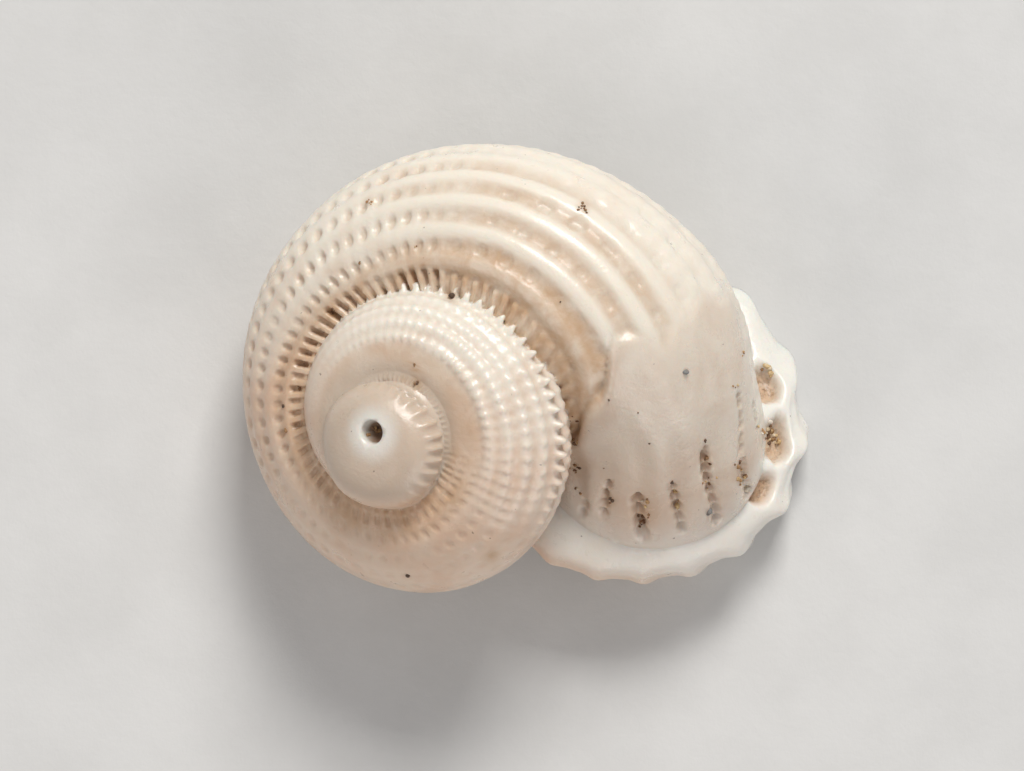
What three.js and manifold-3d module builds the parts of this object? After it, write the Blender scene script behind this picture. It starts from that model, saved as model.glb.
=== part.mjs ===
// A small top shell with a thick round mouth, lying on its mouth with the apex leaning away from it.
// Lengths are millimetres and angles are degrees. X is to the right and Y is away from someone who
// looks straight down on it, Z is up, and Z = 0 is the surface that it rests on.
import * as THREE from 'three';
import { mergeVertices } from 'three/addons/utils/BufferGeometryUtils.js';
import Module from 'manifold-3d';

// The coil is a tube along a widening spiral. The turn is 0 at the neck, just behind the mouth, and
// runs backwards, in radians, to the apex. Each rate is the growth of its length per radian.
const COIL_RADIUS = 3.73;
const COIL_RATE = 0.1135;
const COIL_DROP = 5.11;
const DROP_RATE = 0.1335;
const TUBE_RADIUS = 3.05;
const TUBE_RATE = 0.1062;
const MOUTH_AZIMUTH = -22;
const BODY_FROM = -1.9 * Math.PI;
const EARLIER_FROM = -3.8 * Math.PI;
const FIRST_TURN = -5.6 * Math.PI;
const FIRST_STEPS = 14;

// How the shell lies
const APEX = new THREE.Vector3(-3.08, -1.3, 6.04);
const LEAN = 29.2;
const LEAN_TOWARDS = 198.2;

// The last third of the body whorl bends down to the mouth and narrows
const BEND_START = -1.6;
const PINCH_START = -1.0;
const PINCH = 0.262;
const NECK_SHIFT = new THREE.Vector3(0.32, 0.56, -1.23);
const NECK_TURN = 50;
const RIM_TURN = 71.6;
const HINGE_AZIMUTH = -18.2;

// The thick flared rim around the mouth. Its centre is measured from the apex.
const RIM_CENTRE = new THREE.Vector3(5.95, 0.21, -6.22);
const RIM_RADIUS = 3.22;
const SCALLOP = 0.11;
const SCALLOP_LEAST = 0.4;
const SCALLOPED_AT = -40;
const SCALLOPED_WIDTH = 70;
const FAR_AT = -102;
const FAR_WIDTH = 22;
const FAR_REACH = 0.24;
const CORNER_AT = 94;
const CORNER_WIDTH = 34;
const CORNER_LIFT = 1.5;
const CORNER_REACH = 0.5;
const INNER_SIDE_AT = 160;
const INNER_SIDE_WIDTH = 60;
const INNER_SIDE_FLARE = 0.35;
const RIM_PIT_DEPTH = 0.42;
const RIM_PIT_AT = 0.33;
const RIM_PIT_WIDTH = 0.16;
const RIM_PITS_BELOW = 0;
const RIM_WIDEST_AT = 0.6;
const RIM_ROUNDING = 0.22;
const RIM_STEPS = [0, 0.12, 0.26, 0.4, 0.56, 0.82, 1];

// Spiral cords and the grooves between them, as angles around the tube. 90 is the suture side, 0 the
// outer side and -90 the base. CORDS is for the body whorl and MOUTH_CORDS for the neck, where the
// cords have shifted.
const CORDS = [86, 71, 55.5, 39.5, 24, 8, -8, -27, -52, -84, -122];
const MOUTH_CORDS = [96, 80, 63, 45, 27, 5, -20, -45, -73, -104, -138];
const RIM_CORDS = [92, 74, 58, 41, 20, -4, -28, -54, -84, -118, -150];
const INNER_ANGLES = [-170, 165, 138, 112];
const CORD_DRIFT = 12;
const DRIFT_FROM = -1.0;
const DRIFT_UNTIL = -2.2;
const SHIFT_FROM = -0.8;
const SHIFT_UNTIL = -0.4;

// Relief, as a share of the tube's radius
const CORD_HEIGHT = 0.03;
const PIT_DEPTH = 0.06;
const RIB_DEPTH = 0.006;
const FURROW_DEPTH = 0.03;
const SLOT_DEPTH = 0.1;
const TOOTH_HEIGHT = 0.1;

// Teeth stand over the suture on the last turn of the earlier whorl, on this cord
const TOOTHED_CORD = 6;
const TEETH_FROM = -2.85 * Math.PI;
const TEETH_UNTIL = -1.9 * Math.PI;

// Pits along a whole whorl, and the smooth callus over the last bend
const BODY_PITS = 44;
const EARLIER_PITS = 36;
const SMOOTH_FROM = -0.78;
const SLOTS_FROM = -0.36;
const SMOOTH_TURNS = [-0.67, -0.56, -0.46, SLOTS_FROM, SLOTS_FROM + 0.03, -0.19, -0.05];

// The hollow of the body whorl
const WALL = 0.45;
const MOUTH_RADIUS = 1.85;
const HOLLOW_END = -4.6;
const HOLLOW_STEPS = 16;
const HOLLOW_SIDES = 14;
const HOLLOW_PAST_MOUTH = 1.3;

// The worn dome of the first whorls, with its small hole. Both centres are measured from the apex.
const DOME_CENTRE = new THREE.Vector3(0.2, -0.28, -0.77);
const DOME_RADIUS = 1.38;
const DOME_HEIGHT = 0.88;
const DOME_FULLNESS = 0.5;
const DOME_SIDES = 24;
const APEX_HOLE_CENTRE = new THREE.Vector3(-0.02, -0.05, 0.02);
const APEX_HOLE_RADIUS = 0.25;
const APEX_HOLE_DEPTH = 0.3;

const IVORY = new THREE.MeshStandardMaterial({ color: 0xefe6d6, roughness: 0.38, metalness: 0 });

const radians = THREE.MathUtils.degToRad;
const mix = THREE.MathUtils.lerp;
const smooth = THREE.MathUtils.smoothstep;
const AXIS = leaned(new THREE.Vector3(0, 0, 1));
const HINGE = new THREE.Vector3(Math.cos(radians(HINGE_AZIMUTH)), Math.sin(radians(HINGE_AZIMUTH)), 0);

// A direction in the upright shell, turned to how the shell lies
function leaned(direction) {
  const towards = radians(LEAN_TOWARDS);
  const tilt = new THREE.Vector3(-Math.sin(towards), Math.cos(towards), 0);
  return direction.applyAxisAngle(tilt, radians(LEAN));
}

// A soft bump of height 1 around an angle
function bump(angle, at, width) {
  const away = ((angle - at + 540) % 360) - 180;
  return Math.exp(-((away / width) ** 2));
}

// The frame of the tube's section: its centre, the directions of 0 and 90 degrees, and the radius
function section(turn) {
  const before = Math.min(turn, 0);
  const azimuth = radians(MOUTH_AZIMUTH) - before;
  const outward = leaned(new THREE.Vector3(Math.cos(azimuth), Math.sin(azimuth), 0));
  const bend = Math.max(0, 1 - before / BEND_START) ** 2;
  const centre = outward
    .clone()
    .multiplyScalar(COIL_RADIUS * Math.exp(COIL_RATE * before))
    .addScaledVector(AXIS, -COIL_DROP * Math.exp(DROP_RATE * before))
    .addScaledVector(NECK_SHIFT, bend);
  const pinch = 1 - PINCH * smooth(before, PINCH_START, 0);
  const flare = Math.max(turn, 0);
  const angle = radians(NECK_TURN * bend + (RIM_TURN - NECK_TURN) * flare);
  centre.lerp(RIM_CENTRE, flare);
  return {
    centre,
    outward: outward.applyAxisAngle(HINGE, angle),
    upward: AXIS.clone().applyAxisAngle(HINGE, angle),
    radius: TUBE_RADIUS * Math.exp(TUBE_RATE * before) * pinch,
  };
}

// The point of a section at an angle and a distance from its centre, in the part's own place
function pointAt({ centre, outward, upward }, angle, distance) {
  return centre
    .clone()
    .addScaledVector(outward, distance * Math.cos(radians(angle)))
    .addScaledVector(upward, distance * Math.sin(radians(angle)))
    .add(APEX);
}

// The cord's angle at a turn: it drifts towards the suture going back, and shifts before the mouth
function cordAngle(index, turn) {
  const drift = CORD_DRIFT * (DRIFT_FROM - THREE.MathUtils.clamp(turn, DRIFT_UNTIL, SHIFT_FROM));
  const near = smooth(turn, SHIFT_FROM, SHIFT_UNTIL);
  const angle = mix(CORDS[index] + drift, MOUTH_CORDS[index], near);
  return mix(angle, RIM_CORDS[index], Math.max(turn, 0));
}

// The angles of a section's corners, each with how high a cord it is (1) or a groove (0)
function corners(turn) {
  const around = [];
  for (let i = 0; i < CORDS.length; i += 1) {
    const angle = cordAngle(i, turn);
    around.push({ angle, cord: 1, toothed: i === TOOTHED_CORD });
    if (i + 1 < CORDS.length) {
      around.push({ angle: (angle + cordAngle(i + 1, turn)) / 2, cord: 0, groove: i });
    }
  }
  for (const angle of INNER_ANGLES) {
    around.push({ angle, cord: 0.5 });
  }
  return around;
}

// How far the relief stands out of a plain tube at a corner, as a share of the radius
function relief({ angle, cord, groove, toothed }, turn, isPit) {
  const callus = smooth(turn, SMOOTH_FROM - 0.12, SMOOTH_FROM) * (angle > -30 ? 1 : 0.4);
  if (cord === 1) {
    const tooth = toothed && !isPit && turn > TEETH_FROM && turn < TEETH_UNTIL ? TOOTH_HEIGHT : 0;
    return (CORD_HEIGHT + tooth) * (1 - callus);
  }
  if (groove === undefined) {
    return 0;
  }
  if (turn > SLOTS_FROM) {
    return angle > -30 ? -SLOT_DEPTH * (1 - smooth(turn, -0.04, 0)) : -RIB_DEPTH;
  }
  const worn = angle > 15 ? smooth(turn, -2.1, -1.4) : 0;
  const pit = groove === 0 ? SLOT_DEPTH : mix(PIT_DEPTH, FURROW_DEPTH, worn);
  const rib = groove === 0 ? RIB_DEPTH : mix(RIB_DEPTH, FURROW_DEPTH, worn);
  return -(isPit ? pit : rib) * (1 - callus);
}

// One ring of the tube with its cords, grooves and pits
function tubeRing(turn, isPit) {
  const place = section(turn);
  return corners(turn).map((corner) => {
    return pointAt(place, corner.angle, place.radius * (1 + relief(corner, turn, isPit)));
  });
}

// Values in equal steps, both ends included
function evenSteps(from, to, count) {
  return Array.from({ length: count + 1 }, (_, i) => mix(from, to, i / count));
}

// Rings over a stretch, half a pit apart, from rib to pit to rib
function pittedRings(from, to, perWhorl) {
  const count = 2 * Math.round(((to - from) * perWhorl) / (2 * Math.PI));
  return evenSteps(from, to, count).map((turn, i) => tubeRing(turn, i % 2 === 1));
}

// One ring of the flared rim, from the neck at 0 to the flat mouth edge at 1
function rimRing(flare) {
  const place = section(flare);
  const rising = smooth(flare, 0, RIM_WIDEST_AT);
  const rounding = RIM_ROUNDING * Math.max(0, (flare - RIM_WIDEST_AT) / (1 - RIM_WIDEST_AT)) ** 2;
  return corners(flare).map((corner) => {
    const far = FAR_REACH * bump(corner.angle, FAR_AT, FAR_WIDTH);
    const reach = CORNER_REACH * bump(corner.angle, CORNER_AT, CORNER_WIDTH) + far;
    const scalloped = mix(SCALLOP_LEAST, 1, bump(corner.angle, SCALLOPED_AT, SCALLOPED_WIDTH));
    const scallop = SCALLOP * scalloped * (corner.cord === 0 ? 1 : -1) * (corner.cord === 0.5 ? 0 : 1);
    const inner = 1 - (1 - INNER_SIDE_FLARE) * bump(corner.angle, INNER_SIDE_AT, INNER_SIDE_WIDTH);
    const widest = mix(place.radius, RIM_RADIUS + reach + scallop, inner);
    const isPit = corner.cord === 0 && corner.angle < RIM_PITS_BELOW;
    const pit = isPit ? RIM_PIT_DEPTH * Math.exp(-(((flare - RIM_PIT_AT) / RIM_PIT_WIDTH) ** 2)) : 0;
    const point = pointAt(place, corner.angle, mix(place.radius, widest, rising) - rounding * inner - pit);
    point.z += CORNER_LIFT * flare * bump(corner.angle, CORNER_AT, CORNER_WIDTH);
    return point;
  });
}

// A closed solid between rings that all have the same number of corners
function loft(rings) {
  const size = rings[0].length;
  const end = (rings.length - 1) * size;
  const middle = (ring) => ring.reduce((sum, p) => sum.add(p), new THREE.Vector3()).divideScalar(size);
  const points = rings.flat();
  const first = points.push(middle(rings[0])) - 1;
  const last = points.push(middle(rings.at(-1))) - 1;
  const triangles = [];
  for (let i = 0; i < size; i += 1) {
    const next = (i + 1) % size;
    triangles.push(first, i, next, last, end + next, end + i);
    for (let row = 0; row < end; row += size) {
      triangles.push(row + i, row + size + i, row + size + next);
      triangles.push(row + i, row + size + next, row + next);
    }
  }
  const geometry = new THREE.BufferGeometry().setFromPoints(points);
  geometry.setIndex(triangles);
  return geometry;
}

// The body whorl, from where the coil first meets it to the mouth
function bodyWhorl() {
  return loft([
    ...pittedRings(BODY_FROM, SMOOTH_FROM, BODY_PITS),
    ...SMOOTH_TURNS.map((turn) => tubeRing(turn, false)),
    ...RIM_STEPS.map((flare) => rimRing(flare)),
  ]);
}

// The beaded whorl before it, most of which shows on top
function earlierWhorl() {
  return loft(pittedRings(EARLIER_FROM, BODY_FROM, EARLIER_PITS));
}

// The first whorls, worn smooth, most of which lie inside the dome
function firstWhorls() {
  return loft(evenSteps(FIRST_TURN, EARLIER_FROM, FIRST_STEPS).map((turn) => tubeRing(turn, false)));
}

// The hollow inside the body whorl, which runs out through the mouth
function hollow() {
  const angles = evenSteps(180, -180, HOLLOW_SIDES).slice(1);
  const ring = (turn, radius) => angles.map((angle) => pointAt(section(turn), angle, radius));
  const inside = evenSteps(HOLLOW_END, 0, HOLLOW_STEPS).map((turn) => ring(turn, section(turn).radius - WALL));
  return loft([...inside, ring(1, MOUTH_RADIUS), ring(HOLLOW_PAST_MOUTH, MOUTH_RADIUS)]);
}

// A shape made around the origin, leaned like the coil and set at its place
function setLeaning(geometry, centre) {
  const turned = new THREE.Quaternion().setFromUnitVectors(new THREE.Vector3(0, 0, 1), AXIS);
  return geometry.applyQuaternion(turned).translate(...centre.clone().add(APEX));
}

// The worn dome on top, steeper at its edge and flatter on top than a ball
function dome() {
  const profile = evenSteps(-90, 90, DOME_SIDES / 2).map((up, i, all) => {
    const isEnd = i === 0 || i === all.length - 1;
    const across = isEnd ? 0 : DOME_RADIUS * Math.cos(radians(up)) ** DOME_FULLNESS;
    return new THREE.Vector2(across, DOME_HEIGHT * Math.sin(radians(up)));
  });
  const geometry = new THREE.LatheGeometry(profile, DOME_SIDES);
  geometry.rotateX(Math.PI / 2);
  return setLeaning(geometry, DOME_CENTRE);
}

// The hole in the dome's top, narrower at its floor
function apexHole() {
  const floor = APEX_HOLE_RADIUS * 0.7;
  const geometry = new THREE.CylinderGeometry(APEX_HOLE_RADIUS, floor, 2 * APEX_HOLE_DEPTH, DOME_SIDES / 2);
  geometry.rotateX(Math.PI / 2);
  return setLeaning(geometry, APEX_HOLE_CENTRE);
}

// Everything below the surface that the shell rests on
function underTheSurface() {
  return new THREE.BoxGeometry(40, 40, 10).translate(0, 0, -5);
}

// A closed geometry as a solid that can be joined and cut
function solid(geometry) {
  geometry.deleteAttribute('normal');
  geometry.deleteAttribute('uv');
  const merged = mergeVertices(geometry);
  return new wasm.Manifold(
    new wasm.Mesh({
      numProp: 3,
      vertProperties: new Float32Array(merged.attributes.position.array),
      triVerts: new Uint32Array(merged.index.array),
    }),
  );
}

// The whole shell as one solid
function wholeShell() {
  const earlier = solid(earlierWhorl());
  const grown = solid(bodyWhorl()).add(earlier).add(solid(firstWhorls())).add(solid(dome()));
  const opened = grown.subtract(solid(hollow()).subtract(earlier)).subtract(solid(apexHole()));
  return opened.subtract(solid(underTheSurface()));
}

// A solid back as a geometry
function geometryOf(manifold) {
  const { vertProperties, triVerts } = manifold.getMesh();
  const geometry = new THREE.BufferGeometry();
  geometry.setAttribute('position', new THREE.BufferAttribute(vertProperties, 3));
  geometry.setIndex(new THREE.BufferAttribute(triVerts, 1));
  geometry.computeVertexNormals();
  return geometry;
}

const wasm = await Module();
wasm.setup();

const shell = new THREE.Mesh(geometryOf(wholeShell()), IVORY);
shell.name = 'shell';

const part = new THREE.Group();
part.add(shell);

export default part;
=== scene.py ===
"""The looks of a small top shell: its fine relief, colours and the grains lodged in it.

Sizes are in millimetres and angles in degrees, and are turned into metres when a mesh is made.
A place on the shell is a turn along the coil, in radians and 0 at the neck behind the mouth, and an
angle around the tube, 90 at the suture, 0 outside and -90 at the base.
"""
import math

import bmesh
import bpy
import numpy as np
from mathutils import Matrix, Vector
from mathutils.bvhtree import BVHTree
from mathutils.kdtree import KDTree


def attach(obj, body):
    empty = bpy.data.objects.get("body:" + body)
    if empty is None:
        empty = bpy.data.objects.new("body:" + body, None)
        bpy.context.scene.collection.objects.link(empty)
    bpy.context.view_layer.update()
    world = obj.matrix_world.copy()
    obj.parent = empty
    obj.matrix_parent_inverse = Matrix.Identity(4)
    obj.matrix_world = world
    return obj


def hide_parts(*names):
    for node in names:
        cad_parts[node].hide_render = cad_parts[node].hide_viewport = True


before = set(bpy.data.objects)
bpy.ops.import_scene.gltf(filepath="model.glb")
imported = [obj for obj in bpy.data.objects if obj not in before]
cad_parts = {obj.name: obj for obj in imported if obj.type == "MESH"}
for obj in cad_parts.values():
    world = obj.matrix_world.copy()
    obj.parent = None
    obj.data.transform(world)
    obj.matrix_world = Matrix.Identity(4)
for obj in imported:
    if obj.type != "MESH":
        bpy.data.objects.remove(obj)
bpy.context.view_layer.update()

MM = 0.001
SEED = 7

# The coil, as in the solids
COIL_RADIUS, COIL_RATE = 3.73, 0.1135
COIL_DROP, DROP_RATE = 5.11, 0.1335
TUBE_RADIUS, TUBE_RATE = 3.05, 0.1062
MOUTH_AZIMUTH = -22
BODY_FROM = -1.9 * math.pi
EARLIER_FROM = -3.8 * math.pi
FIRST_TURN = -5.6 * math.pi
APEX = np.array([-3.08, -1.3, 6.04])
LEAN, LEAN_TOWARDS = 29.2, 198.2

# The bend down to the mouth, and the rim, which rises faster and has fuller corners than the solid's
BEND_START = -1.6
PINCH_START, PINCH = -1.0, 0.262
NECK_SHIFT = np.array([0.32, 0.56, -1.23])
NECK_TURN, RIM_TURN, HINGE_AZIMUTH = 50, 71.6, -18.2
RIM_CENTRE = np.array([5.95, 0.21, -6.22])
RIM_RADIUS = 3.22
SCALLOP, SCALLOP_LEAST, SCALLOPED_AT, SCALLOPED_WIDTH = 0.11, 0.4, -40, 70
FAR_AT, FAR_WIDTH, FAR_REACH = -102, 22, 0.24
CORNER_AT, CORNER_WIDTH, CORNER_LIFT, CORNER_REACH = 94, 34, 1.5, 0.5
SHOULDER_AT, SHOULDER_WIDTH, SHOULDER_REACH = 100, 17, 0.32
INNER_SIDE_AT, INNER_SIDE_WIDTH, INNER_SIDE_FLARE = 160, 60, 0.35
RIM_RISEN_AT, RIM_WIDEST_AT, RIM_ROUNDING = 0.4, 0.6, 0.22

# Spiral cords, as in the solids
CORDS = np.array([86, 71, 55.5, 39.5, 24, 8, -8, -27, -52, -84, -122])
MOUTH_CORDS = np.array([96, 80, 63, 45, 27, 5, -20, -45, -73, -104, -138])
RIM_CORDS = np.array([92, 74, 58, 41, 20, -4, -28, -54, -84, -118, -150])
CORD_DRIFT, DRIFT_FROM, DRIFT_UNTIL = 12, -1.0, -2.2
SHIFT_FROM, SHIFT_UNTIL = -0.8, -0.4
FIRST_SPACING, LAST_SPACING = 17, 34

# Riblets per radian: RIBS far back, and RIBS_MORE more at the mouth
RIBS, RIBS_MORE, RIBS_RATE = 7.0, 11.5, 0.42
EARLIER_RIBS, EARLIER_RIBS_UNTIL = 2.6, -5.9

# How finely the surface is sampled, and the most triangles that are kept
BODY_ROWS, EARLIER_ROWS, FIRST_ROWS, RIM_ROWS = 640, 380, 90, 70
FINE_STEP, COARSE_STEP = 1.7, 4.0
SHELL_TRIANGLES = 192000

# Masks are taken from a sampled point this near. Stains are above the first height, grains above the
# second, and grains are dropped from a height above everything.
SAMPLE_REACH = 0.1
STAINED_ABOVE, GRAINS_ABOVE, DROPPED_FROM = 0.8, 0.1, 20.0

# What the camera sees, straight down on the shell, in metres
FRAME_WIDTH = 21.79 * MM
FRAME_CENTRE = (-0.208 * MM, -0.353 * MM)
CAMERA_HEIGHT = 0.3
CAMERA_RAISED = 0.003

# The hollow, the dome and the apex hole. The hole's profile is radius and height.
WALL, MOUTH_RADIUS, HOLLOW_END, HOLLOW_PAST_MOUTH = 0.45, 1.85, -4.6, 1.3
DOME_CENTRE = np.array([0.2, -0.28, -0.77])
DOME_RADIUS, DOME_HEIGHT, DOME_FULLNESS = 1.38, 0.88, 0.5
DOME_TEETH, DOME_TOOTH_HEIGHT = 30, 0.11
APEX_HOLE_CENTRE = np.array([-0.02, -0.05, 0.02])
APEX_HOLE_PROFILE = [
    (0.04, -0.3),
    (0.13, -0.27),
    (0.15, -0.18),
    (0.21, -0.12),
    (0.23, -0.05),
    (0.26, 0.02),
    (0.28, 0.3),
]

# The slots between the callus and the rim: angle, first and last turn, half width and depth
MOUTH_SLOTS = [
    (88, -0.14, -0.03, 0.10, 0.12),
    (72, -0.27, -0.09, 0.09, 0.24),
    (54, -0.23, -0.03, 0.13, 0.34),
    (36, -0.25, -0.05, 0.12, 0.26),
    (17.5, -0.35, -0.03, 0.12, 0.34),
    (-4, -0.46, -0.22, 0.09, 0.2),
    (-9, -0.20, -0.01, 0.12, 0.30),
    (-26, -0.36, -0.20, 0.08, 0.14),
]

# The round pits on the flared rim: angle and flare of the middle, half sizes and depth
RIM_PITS = [
    (-16, 0.06, 9, 0.10, 0.30),
    (-41, 0.10, 12, 0.11, 0.42),
    (-67, 0.10, 10, 0.10, 0.34),
    (-86, 0.08, 6, 0.07, 0.15),
]

# About how many millimetres a turn of the slots is long, and how many rungs cross a slot in a turn
SLOT_SPEED = 5.5
RUNGS = 23

# Filling where the neck meets the rim: by the neck, and in the groove up to a flare
NECK_FILLET, GROOVE_FILL, GROOVE_UNTIL = 0.22, 0.08, 0.3

# Heights and depths of the relief
CORD_HEIGHT, PIT_DEPTH, BEAD_HEIGHT, TOOTH_HEIGHT = 0.045, 0.09, 0.045, 0.17
SUTURE_SLOT_DEPTH, CREASE_DEPTH, FURROW_DEPTH, SUNK_DEPTH = 0.25, 0.09, 0.05, 0.3

# Turns over which the relief comes in: the body whorl's, its wear, crisp pits, the net of beads, and
# the innermost whorl's sinking, and the turn at which the callus begins
BODY_RELIEF_TURNS = (-6.6, -5.7)
WORN_TURNS = (-2.2, -1.55)
CRISP_TURNS = (-4.7, -3.0)
NET_TURNS = (-9.6, -7.2)
SUNK_TURNS = (-11.4, -12.6)
CALLUS_TURN = -0.80

# Sand and dirt: x and y of the place, its spread, the number and size of its grains, and their
# lightest and darkest shade, from 0 for dark brown through ochre and white to 1 for grey
GRAINS = [
    (2.58, -3.16, 0.20, 9, 0.055, 0.1, 0.45),
    (2.64, -2.80, 0.14, 5, 0.045, 0.2, 0.8),
    (3.33, -2.90, 0.05, 1, 0.115, 0.64, 0.68),
    (3.25, -2.62, 0.12, 4, 0.04, 0.3, 0.8),
    (3.17, -2.43, 0.05, 2, 0.05, 0.0, 0.2),
    (1.90, -2.78, 0.08, 4, 0.045, 0.0, 0.3),
    (3.92, -1.92, 0.10, 4, 0.05, 0.15, 0.4),
    (3.88, -1.53, 0.03, 2, 0.045, 0.0, 0.1),
    (3.92, -2.41, 0.18, 6, 0.04, 0.3, 0.8),
    (4.00, -3.05, 0.05, 2, 0.075, 0.95, 1.0),
    (4.82, -2.50, 0.05, 1, 0.14, 0.78, 0.84),
    (4.66, -2.35, 0.14, 6, 0.05, 0.35, 0.8),
    (4.58, -2.05, 0.14, 6, 0.045, 0.2, 0.7),
    (5.24, -1.28, 0.17, 14, 0.06, 0.15, 0.85),
    (5.32, -1.52, 0.17, 14, 0.055, 0.1, 0.8),
    (5.33, -0.06, 0.10, 5, 0.085, 0.6, 0.76),
    (5.22, 0.06, 0.10, 4, 0.05, 0.4, 0.8),
    (-3.08, -1.30, 0.13, 8, 0.05, 0.3, 0.68),
    (-3.02, -1.34, 0.03, 1, 0.09, 0.5, 0.62),
    (4.69, 0.36, 0.06, 3, 0.035, 0.2, 0.7),
    (4.54, -0.36, 0.10, 4, 0.035, 0.2, 0.8),
    (1.30, 3.40, 0.11, 10, 0.035, 0.1, 0.5),
    (1.14, -1.55, 0.10, 5, 0.045, 0.1, 0.7),
    (1.16, -2.12, 0.12, 6, 0.05, 0.1, 0.5),
    (1.18, -2.60, 0.08, 3, 0.045, 0.3, 0.8),
    (1.08, -1.10, 0.08, 3, 0.035, 0.1, 0.5),
    (-2.42, -4.38, 0.01, 1, 0.05, 0.0, 0.08),
    (-1.48, 1.55, 0.03, 2, 0.075, 0.0, 0.02),
    (3.43, -0.04, 0.02, 1, 0.07, 0.98, 1.0),
    (-4.02, 1.21, 0.07, 5, 0.04, 0.1, 0.35),
    (-2.25, 0.06, 0.04, 2, 0.035, 0.2, 0.5),
    (-2.21, -0.28, 0.06, 3, 0.035, 0.1, 0.4),
    (-3.21, 3.55, 0.07, 5, 0.035, 0.4, 0.7),
    (-3.42, 2.23, 0.03, 2, 0.035, 0.3, 0.6),
    (-2.23, 2.59, 0.04, 2, 0.03, 0.2, 0.6),
    (-5.08, -0.79, 0.03, 1, 0.045, 0.0, 0.1),
    (-5.04, -1.30, 0.05, 2, 0.045, 0.35, 0.55),
    (-4.72, -0.36, 0.06, 2, 0.035, 0.1, 0.4),
    (1.83, -0.66, 0.01, 1, 0.03, 0.0, 0.1),
    (2.69, -1.58, 0.01, 1, 0.025, 0.0, 0.1),
    (1.73, -2.11, 0.01, 1, 0.03, 0.2, 0.3),
    (0.81, 1.40, 0.01, 1, 0.028, 0.0, 0.1),
    (2.45, -0.92, 0.01, 1, 0.025, 0.2, 0.3),
]

# Stains: x and y of the middle, reach and strength
STAINS = [
    (-1.48, 1.55, 0.11, 0.97),
    (-1.53, 1.72, 0.16, 0.35),
    (-4.02, 1.21, 0.13, 0.7),
    (-2.23, 0.0, 0.10, 0.65),
    (-2.21, -0.3, 0.16, 0.55),
    (-2.48, -0.22, 0.10, 0.35),
    (-0.65, -3.94, 0.17, 0.5),
    (1.30, 3.40, 0.13, 0.45),
    (5.26, -1.40, 0.26, 0.4),
    (5.26, -0.02, 0.20, 0.35),
    (4.64, -2.2, 0.20, 0.3),
    (2.60, -3.1, 0.24, 0.4),
    (3.92, -1.9, 0.14, 0.45),
    (1.90, -2.8, 0.10, 0.6),
    (1.17, -2.05, 0.22, 0.4),
    (1.12, -1.3, 0.18, 0.35),
    (-3.21, 3.55, 0.10, 0.4),
]


def smooth(value, low, high):
    """0 below low, 1 above high, and soft between them."""
    share = np.clip((value - low) / (high - low), 0, 1)
    return share * share * (3 - 2 * share)


def mix(first, second, share):
    return first + (second - first) * share


def bump(angle, at, width):
    """A soft bump of height 1 around an angle."""
    away = (angle - at + 540) % 360 - 180
    return np.exp(-((away / width) ** 2))


def turned(vectors, axis, angles):
    """Vectors turned around a unit axis by angles in radians."""
    cosine = np.cos(angles)[..., None]
    sine = np.sin(angles)[..., None]
    along = (vectors @ axis)[..., None] * axis
    return vectors * cosine + np.cross(axis, vectors) * sine + along * (1 - cosine)


def leaned(vectors):
    """Directions in the upright shell, turned to how the shell lies."""
    towards = math.radians(LEAN_TOWARDS)
    axis = np.array([-math.sin(towards), math.cos(towards), 0])
    return turned(vectors, axis, np.full(vectors.shape[:-1], math.radians(LEAN)))


AXIS = leaned(np.array([0.0, 0.0, 1.0]))
HINGE = np.array([math.cos(math.radians(HINGE_AZIMUTH)), math.sin(math.radians(HINGE_AZIMUTH)), 0])


def sections(turns):
    """Centre, outward and upward directions, and radius of the tube's section at each turn."""
    before = np.minimum(turns, 0)
    azimuth = math.radians(MOUTH_AZIMUTH) - before
    outward = leaned(np.stack([np.cos(azimuth), np.sin(azimuth), 0 * azimuth], -1))
    bend = np.clip(1 - before / BEND_START, 0, None) ** 2
    centre = (COIL_RADIUS * np.exp(COIL_RATE * before))[:, None] * outward
    centre = centre - (COIL_DROP * np.exp(DROP_RATE * before))[:, None] * AXIS
    centre = centre + bend[:, None] * NECK_SHIFT
    flare = np.clip(turns, 0, None)
    centre = mix(centre, RIM_CENTRE, flare[:, None])
    angle = np.radians(NECK_TURN * bend + (RIM_TURN - NECK_TURN) * flare)
    upward = turned(np.broadcast_to(AXIS, outward.shape), HINGE, angle)
    pinch = 1 - PINCH * smooth(before, PINCH_START, 0)
    radius = TUBE_RADIUS * np.exp(TUBE_RATE * before) * pinch
    return centre, turned(outward, HINGE, angle), upward, radius


def surface(turns, angles, distance):
    """Points at a distance from the tube's centre line, one row for each turn."""
    centre, outward, upward, _ = sections(turns)
    cosine = np.cos(np.radians(angles))
    sine = np.sin(np.radians(angles))
    across = (distance * cosine)[..., None] * outward[:, None]
    return centre[:, None] + across + (distance * sine)[..., None] * upward[:, None] + APEX


def cord_count(turns, angles):
    """Which cord a place is on: whole numbers are cords, and halves are the grooves between."""
    counted = np.empty((len(turns), len(angles)))
    for row, turn in enumerate(turns):
        drift = CORD_DRIFT * (DRIFT_FROM - np.clip(turn, DRIFT_UNTIL, SHIFT_FROM))
        cords = mix(CORDS + drift, MOUTH_CORDS, smooth(turn, SHIFT_FROM, SHIFT_UNTIL))
        cords = mix(cords, RIM_CORDS, max(turn, 0))
        ends = np.concatenate([[cords[-1] - 6 * LAST_SPACING], cords[::-1], [cords[0] + 6 * FIRST_SPACING]])
        counts = np.concatenate([[len(cords) + 5], np.arange(len(cords))[::-1], [-6]])
        counted[row] = np.interp(angles, ends, counts)
    return counted


def rib_count(turns, angles):
    """Which riblet a place is on. The riblets lean forward towards the suture."""
    grown = turns - 0.06 * np.radians(angles) - 0.2 * np.clip(np.radians(angles - 75), 0, None)
    body = RIBS * grown + RIBS_MORE / RIBS_RATE * np.exp(RIBS_RATE * grown)
    return body + EARLIER_RIBS * np.minimum(turns - EARLIER_RIBS_UNTIL, 0)


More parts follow.
